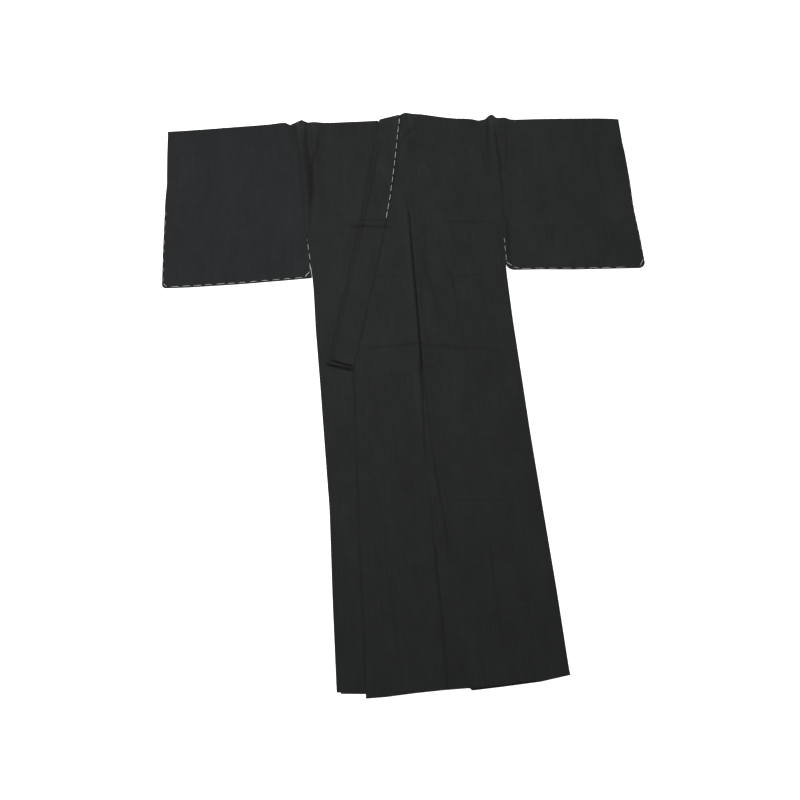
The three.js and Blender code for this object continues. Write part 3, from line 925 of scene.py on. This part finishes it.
def sleeve(name, side):
    """Sleeve: a flat tube folded along the top, sewn along the bottom, open at both ends."""
    edge_name, wearers = ("left", "right") if side < 0 else ("right", "left")
    wrist_corner, inner_corner = WRIST_CORNER[wearers], INNER_CORNER[wearers]
    wrist_end = WRISTS[wearers][-1]

    def inner_edge(down):
        free = FREE_EDGE_GAP + smooth(down, *OPENING_RAMP) * OPENING_GAP[wearers]
        return body(down, edge_name) + side * (ARM_SEAM / 2 + free)

    def wrist(down):
        return along(WRISTS, "down", down, wearers)

    inner_drop = along(SLEEVE_HEM, "across", side * ARMHOLE_ACROSS, "down")
    inner_end = abs(inner_edge(inner_drop))

    def rounded(past, corner):
        return corner - np.sqrt(np.maximum(corner**2 - np.maximum(past, 0) ** 2, 0))

    def bottom(x):
        at_wrist = rounded(np.abs(x) - (wrist_end - wrist_corner), wrist_corner)
        at_body = rounded(inner_end + inner_corner - np.abs(x), inner_corner)
        return at_wrist + at_body - along(SLEEVE_HEM, "across", x, "down")

    def leaf(share, height_at):
        x = blend(inner_edge(inner_drop * share), side * wrist(inner_drop * share), SLEEVE_COLUMNS)
        top = shoulder(x) - (sleeve_height(x, shoulder(x)) - flat_height(0)) / 2
        y = blend(top, bottom(x) + LAYER / 2, share)
        return points(x, y, height_at(x, y))

    rows = [leaf(share, low_height)[None] for share in HIDDEN_ROWS]
    if HIDDEN_ROWS[-1] != 0:
        rows.append(leaf(0, low_height)[None])
    start = leaf(0, sleeve_height)
    top = shoulder(start[:, 0])
    turn = half_turn(start[:, 0], start[:, 0], top, flat_height(0), sleeve_height(start[:, 0], top))
    rows.append(turn[1:-1])
    rows += [leaf(share, sleeve_height)[None] for share in SLEEVE_ROWS]
    end = leaf(1, lambda x, y: np.full(len(x), flat_height(1)))
    for step in range(1, SIDE_STEPS):
        angle = math.pi * step / SIDE_STEPS
        lowered = np.array([0, -LAYER / 2 * math.sin(angle), LAYER / 2 * (math.cos(angle) - 1)])
        rows.append((end + lowered)[None])
    return shell(name, np.concatenate(rows), "sleeve", closed=True)


class Value:
    """A socket of a shader graph that sums, differences and products can be written with."""

    def __init__(self, graph, socket):
        self.graph = graph
        self.socket = socket

    def maths(self, operation, *values):
        node = self.graph.node("ShaderNodeMath", {"operation": operation}, values)
        return Value(self.graph, node.outputs[0])

    def __add__(self, other):
        return self.maths("ADD", self, other)

    def __radd__(self, other):
        return self.maths("ADD", other, self)

    def __sub__(self, other):
        return self.maths("SUBTRACT", self, other)

    def __rsub__(self, other):
        return self.maths("SUBTRACT", other, self)

    def __mul__(self, other):
        return self.maths("MULTIPLY", self, other)

    def __rmul__(self, other):
        return self.maths("MULTIPLY", other, self)


class Graph:
    """The node graph of one material."""

    def __init__(self, name):
        self.material = bpy.data.materials.new(name)
        self.material.use_nodes = True
        self.tree = self.material.node_tree
        self.tree.nodes.clear()

    def node(self, kind, settings=None, sockets=()):
        """A node of a type, with its settings, and numbers or links for its sockets."""
        made = self.tree.nodes.new(kind)
        for name, setting in (settings or {}).items():
            setattr(made, name, setting)
        given = sockets.items() if isinstance(sockets, dict) else enumerate(sockets)
        for key, value in given:
            if isinstance(value, Value):
                self.tree.links.new(value.socket, made.inputs[key])
            else:
                made.inputs[key].default_value = value
        return made

    def value(self, node, output):
        return Value(self, node.outputs[output])


def noise(graph, places, scale, detail=2.0, roughness=0.5):
    """Noise from -0.5 to 0.5 over places stretched by a scale for each axis."""
    stretched = graph.node("ShaderNodeVectorMath", {"operation": "MULTIPLY"}, (places, scale))
    sockets = {
        "Vector": graph.value(stretched, 0),
        "Scale": 1.0,
        "Detail": detail,
        "Roughness": roughness,
    }
    found = graph.node("ShaderNodeTexNoise", {"noise_dimensions": "3D"}, sockets)
    return graph.value(found, 0) - 0.5


def cloth_material(name, colour, turn=0.0):
    """Charcoal silk with slubs along its length and a fine plain weave, darkened by painted shade
    in creases and along edges.
    """
    graph = Graph(name)
    coordinates = graph.node("ShaderNodeTexCoord")
    places = graph.value(coordinates, "Object")
    turned = graph.node(
        "ShaderNodeMapping", {"vector_type": "POINT"}, {"Vector": places, "Rotation": (0, 0, turn)}
    )
    places = graph.value(turned, 0)
    broad = noise(graph, places, (14, 7, 7), 3)
    patches = noise(graph, places, (34, 24, 24), 3, 0.6)
    bars = noise(graph, places, (210, 7, 7), 3, 0.6)
    slubs = noise(graph, places, (620, 26, 26), 2, 0.6)
    picks = noise(graph, places, (22, 420, 22), 2, 0.6)
    grain = noise(graph, places, (1500, 1500, 60), 1)
    painted_shade = graph.value(graph.node("ShaderNodeAttribute", {"attribute_name": "painted_shade"}), "Fac")
    lightness = (
        1.0 + 0.6 * broad + 0.45 * patches + 0.6 * bars + 0.75 * slubs + 0.4 * picks + 0.25 * grain
    )
    # The cloth's colour, darkened by the painted shade
    shade = graph.node(
        "ShaderNodeVectorMath",
        {"operation": "SCALE"},
        {0: colour, "Scale": lightness * (1.0 - painted_shade)},
    )
    threads = noise(graph, places, (1400, 160, 160), 1)
    crossing = noise(graph, places, (160, 1400, 160), 1)
    height = 0.5 * threads + 0.5 * crossing + 0.7 * slubs + 0.5 * bars
    bump = graph.node(
        "ShaderNodeBump", None, {"Strength": 0.35, "Distance": 0.0004, "Height": height}
    )
    surface = graph.node(
        "ShaderNodeBsdfPrincipled",
        None,
        {
            "Base Color": graph.value(shade, 0),
            "Roughness": 0.78,
            "Specular IOR Level": 0.2,
            "Sheen Weight": 0.06,
            "Sheen Roughness": 0.5,
            "Normal": graph.value(bump, 0),
        },
    )
    # Where the painted shade is deepest, a black surface without sheen is mixed in: painted shadow
    # that hides the sheen too
    unlit = graph.node(
        "ShaderNodeBsdfPrincipled",
        None,
        {"Base Color": (0.0005, 0.0005, 0.0005, 1), "Roughness": 1.0, "Specular IOR Level": 0.0},
    )
    deepest = painted_shade.maths("POWER", painted_shade, 5.0)
    mixed = graph.node(
        "ShaderNodeMixShader", None, (deepest, graph.value(surface, 0), graph.value(unlit, 0))
    )
    graph.node("ShaderNodeOutputMaterial", None, {"Surface": graph.value(mixed, 0)})
    return graph.material


def plain_material(name, colour, roughness, glow=0.0):
    graph = Graph(name)
    sockets = {
        "Base Color": colour,
        "Roughness": roughness,
        "Specular IOR Level": 0.2,
        "Emission Color": (1, 1, 1, 1),
        "Emission Strength": glow,
    }
    surface = graph.node("ShaderNodeBsdfPrincipled", None, sockets)
    graph.node("ShaderNodeOutputMaterial", None, {"Surface": graph.value(surface, 0)})
    return graph.material


# Colours, in linear light
CHARCOAL = (0.0125, 0.0144, 0.0133)
RIGHT_SLEEVE_CHARCOAL = (0.0125, 0.0134, 0.0145)
LEFT_SLEEVE_CHARCOAL = (0.0142, 0.0158, 0.0152)
THREAD_WHITE = (0.8, 0.8, 0.78, 1)

charcoal = cloth_material("charcoal_silk", CHARCOAL)
right_sleeve_charcoal = cloth_material("charcoal_silk_right_sleeve", RIGHT_SLEEVE_CHARCOAL)
left_sleeve_charcoal = cloth_material("charcoal_silk_left_sleeve", LEFT_SLEEVE_CHARCOAL)
collar_charcoal = cloth_material("charcoal_silk_collar", CHARCOAL, turn=math.radians(-11))
thread = plain_material("basting_thread", THREAD_WHITE, 0.7)
floor_white = plain_material("white_floor", (0.9, 0.9, 0.9, 1), 0.9, glow=1.0)


def cloth_piece(made, node, material):
    """Puts a piece of cloth in place of its solid."""
    made.data.materials.append(material)
    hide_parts(node)
    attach(made, "root")


cloth_piece(
    body_half("kimono_body_right", -1), "body_right", charcoal,
)
cloth_piece(
    body_half("kimono_body_left", 1), "body_left", charcoal,
)
cloth_piece(
    overlap("kimono_overlap_right", -1), "overlap_right", charcoal,
)
cloth_piece(
    overlap("kimono_overlap_left", 1), "overlap_left", charcoal,
)
cloth_piece(
    sleeve("kimono_sleeve_right", -1), "sleeve_right", right_sleeve_charcoal,
)
cloth_piece(
    sleeve("kimono_sleeve_left", 1), "sleeve_left", left_sleeve_charcoal,
)
cloth_piece(
    band("kimono_collar", COLLAR_END, 1, 2, LAYER + SEAM, True),
    "collar", collar_charcoal,
)
cloth_piece(
    band("kimono_overcollar", OVERCOLLAR_END, 0, 3, 0, False), "overcollar",
    collar_charcoal,
)

# Basting stitches: runs of white thread on the cloth
DASH_SIDES = 6
DASH_STEPS = 8
# How much a stitch sways aside, bows up and starts below the cloth: the last two in its radii
SWAY = 0.35
BOW = 2.2
SUNK = 0.9
UNEVEN_DASH = (0.85, 1.1)
UNEVEN_GAP = (0.85, 1.15)


def surface_height(where, x, y):
    heights = {
        "band": lambda: flat_height(1 + filling(x, y) + 3) + top_relief(x, y),
        "sleeve": lambda: np.maximum(under_height(x, y), sleeve_height(x, y)),
    }
    return heights[where]() + SHELL / 2


def dash(start, end, where, radius, draw):
    """One stitch between two places: a thin rod that bows up a little and dips in at both ends."""
    start, end = np.array(start, float), np.array(end, float)
    run = end - start
    length = np.hypot(*run)
    ahead = run / length
    aside = np.array([-ahead[1], ahead[0]])
    share = np.linspace(0, 1, DASH_STEPS + 1)
    sway = draw.uniform(-SWAY, SWAY) * np.sin(math.pi * share)
    line = start + run * share[:, None] + aside * sway[:, None]
    rise = radius * (BOW * np.sin(math.pi * share) ** 0.6 - SUNK)
    height = surface_height(where, line[:, 0], line[:, 1]) + rise
    ring = 2 * math.pi * np.arange(DASH_SIDES) / DASH_SIDES
    thick = radius * np.clip(np.sin(math.pi * (0.04 + 0.92 * share)) ** 0.4, 0.2, 1)
    out = np.cos(ring)[None, :] * thick[:, None]
    up = np.sin(ring)[None, :] * thick[:, None]
    x = line[:, 0, None] + aside[0] * out
    y = line[:, 1, None] + aside[1] * out
    z = height[:, None] + up
    return points(x, y, z)


def stitches(name, runs, seed):
    """White basting stitches along runs, joined to one mesh."""
    draw = random.Random(seed)
    places, faces, used = [], [], 0
    for run in runs:
        corners = np.array(run["path"], float)
        lengths = np.hypot(*np.diff(corners, axis=0).T)
        ends = np.concatenate([[0], np.cumsum(lengths)])
        at = 0.0
        while at + run["dash"] < ends[-1]:
            long = run["dash"] * draw.uniform(*UNEVEN_DASH)
            first = [np.interp(at, ends, corners[:, k]) for k in (0, 1)]
            last = [np.interp(min(at + long, ends[-1]), ends, corners[:, k]) for k in (0, 1)]
            ring = dash(first, last, run["where"], run["radius"], draw)
            steps = ring.shape[0]
            places.append(ring.reshape(-1, 3))
            index = used + np.arange(steps * DASH_SIDES).reshape(steps, DASH_SIDES)
            next_side = np.roll(index, -1, axis=1)
            quads = np.stack([index[:-1], next_side[:-1], next_side[1:], index[1:]], -1)
            faces += quads.reshape(-1, 4).tolist()
            faces.append(index[0][::-1].tolist())
            faces.append(index[-1].tolist())
            used += steps * DASH_SIDES
            at += run["dash"] + run["gap"] * draw.uniform(*UNEVEN_GAP)
    mesh = bpy.data.meshes.new(name)
    mesh.from_pydata(((np.concatenate(places) + SHIFT) * MILLIMETRE).tolist(), [], faces)
    mesh.polygons.foreach_set("use_smooth", [True] * len(mesh.polygons))
    made = bpy.data.objects.new(name, mesh)
    bpy.context.scene.collection.objects.link(made)
    made.data.materials.append(thread)
    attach(made, "root")


def stitch_run(stitch, *path, where="sleeve"):
    """One run along a path, of stitches with a length, a gap and a thread's radius."""
    length, gap, radius = stitch
    return dict(path=path, where=where, dash=length, gap=gap, radius=radius)


COLLAR_STITCH = (22.6, 4.9, 0.5)
SLEEVE_STITCH = (22, 8, 0.45)
WRIST_STITCH = (15, 14, 0.28)
LONG_STITCH = (28, 9, 0.36)
# How far from the collar's seam the stitches along it lie
STITCH_INSET = 1.2
collar_path = [
    (front(down, "seam") - STITCH_INSET, -down) for down in (-12, 0, 40, 110, 232, OVERCOLLAR_END)
]
stitches(
    "basting_overcollar",
    [stitch_run(COLLAR_STITCH, *collar_path, where="band")],
    3,
)
stitches(
    "basting_sleeve_right",
    [
        stitch_run(WRIST_STITCH, (-646.5, -262), (-648.8, -400), (-648.6, -486)),
        stitch_run((14, 4, 0.45), (-647.5, -487), (-641, -496), (-633, -498)),
        stitch_run(
            SLEEVE_STITCH,
            (-628, -497.4), (-580, -497.4), (-450, -493.2), (-320, -486), (-274, -484),
        ),
        stitch_run((19, 7, 0.4), (-262.3, -381), (-260.6, -402)),
        stitch_run((26, 7, 0.4), (-259.6, -409), (-256.6, -437)),
        stitch_run((22, 7, 0.4), (-259, -440), (-257.4, -463)),
        stitch_run((19, 7, 0.7), (-272, -482), (-259.5, -467)),
    ],
    5,
)
stitches(
    "basting_sleeve_left",
    [
        stitch_run(WRIST_STITCH, (648, -220), (646.5, -290), (649.5, -400), (650, -462)),
        stitch_run((29, 4, 0.45), (650.3, -464), (644, -481), (632, -487.5)),
        stitch_run(LONG_STITCH, (311, -480), (366, -481), (454, -485), (590, -487), (628, -487.8)),
        stitch_run((17, 5, 0.32), (274.4, -383), (274.8, -402)),
        stitch_run((22, 5, 0.32), (274, -406), (273.6, -430)),
        stitch_run((21, 5, 0.36), (273.6, -433), (273.4, -456)),
        stitch_run((17, 5, 0.5), (274, -458.5), (288, -471)),
        stitch_run((16, 5, 0.36), (291, -475), (311, -480)),
    ],
    7,
)

# White surface that the kimono lies on
bpy.ops.mesh.primitive_plane_add(size=14, location=(0, 0, -0.001))
floor = bpy.context.object
floor.name = "floor"
floor.data.materials.append(floor_white)

# Light from everywhere, and a soft lamp above the wearer's right sleeve
world = bpy.data.worlds.new("white_room")
bpy.context.scene.world = world
world.use_nodes = True
world.node_tree.nodes["Background"].inputs["Color"].default_value = (1, 1, 1, 1)
world.node_tree.nodes["Background"].inputs["Strength"].default_value = 0.52

lamp_data = bpy.data.lights.new("window", "AREA")
lamp_data.shape = "DISK"
lamp_data.size = 1.1
lamp_data.energy = 18
lamp = bpy.data.objects.new("window", lamp_data)
bpy.context.scene.collection.objects.link(lamp)
lamp.location = (-0.6, 0.6, 1.7)
lamp.rotation_mode = "QUATERNION"
lamp.rotation_quaternion = (lamp.location - Vector((0, 0.3, 0))).to_track_quat("Z", "Y")

# Camera, as fitted to the photograph
AZIMUTH = math.radians(-8.489)
ELEVATION = math.radians(67.575)
ROLL = math.radians(5.428)
back = Vector((
    math.sin(AZIMUTH) * math.cos(ELEVATION),
    -math.cos(AZIMUTH) * math.cos(ELEVATION),
    math.sin(ELEVATION),
))
level = Vector((math.cos(AZIMUTH), math.sin(AZIMUTH), 0))
upward = back.cross(level)
right = math.cos(ROLL) * level + math.sin(ROLL) * upward
up = -math.sin(ROLL) * level + math.cos(ROLL) * upward
camera_data = bpy.data.cameras.new("camera")
camera_data.sensor_width = 36
camera_data.lens = 45.665
camera = bpy.data.objects.new("camera", camera_data)
bpy.context.scene.collection.objects.link(camera)
turned = Matrix((right, up, back)).transposed().to_4x4()
place = Matrix.Translation((-0.1859, -1.8257 + SHIFT[1] * MILLIMETRE, 2.3947))
camera.matrix_world = place @ turned
bpy.context.scene.camera = camera

bpy.context.scene.view_settings.view_transform = "Standard"
